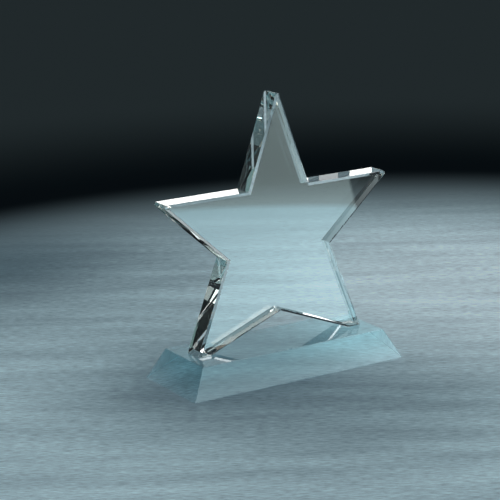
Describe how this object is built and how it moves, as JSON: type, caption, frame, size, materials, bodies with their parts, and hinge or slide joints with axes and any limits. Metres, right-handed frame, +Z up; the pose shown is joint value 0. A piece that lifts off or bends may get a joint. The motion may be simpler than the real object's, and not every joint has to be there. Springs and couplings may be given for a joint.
{
  "type": "star trophy",
  "caption": "Free-standing award: a bevelled star plate of clear crystal standing on its two feet, bonded to a low slant-sided crystal base.",
  "frame": {"origin": "centre of the base's underside", "axes": "+Z up; +X along the base, to the right seen from the front; the flat front of the star looks towards -Y"},
  "size_m": [0.1562, 0.0582, 0.1715],
  "materials": {
    "star_crystal": "polished clear optical crystal, bright bevels",
    "base_crystal": "polished clear crystal with a faint blue-green tint in the thick block",
    "clear_adhesive": "thin cured clear adhesive"
  },
  "bodies": {
    "root": {"star_plate": "star_crystal", "base_block": "base_crystal", "left_foot_bond": "clear_adhesive", "right_foot_bond": "clear_adhesive"}
  },
  "joints": []
}
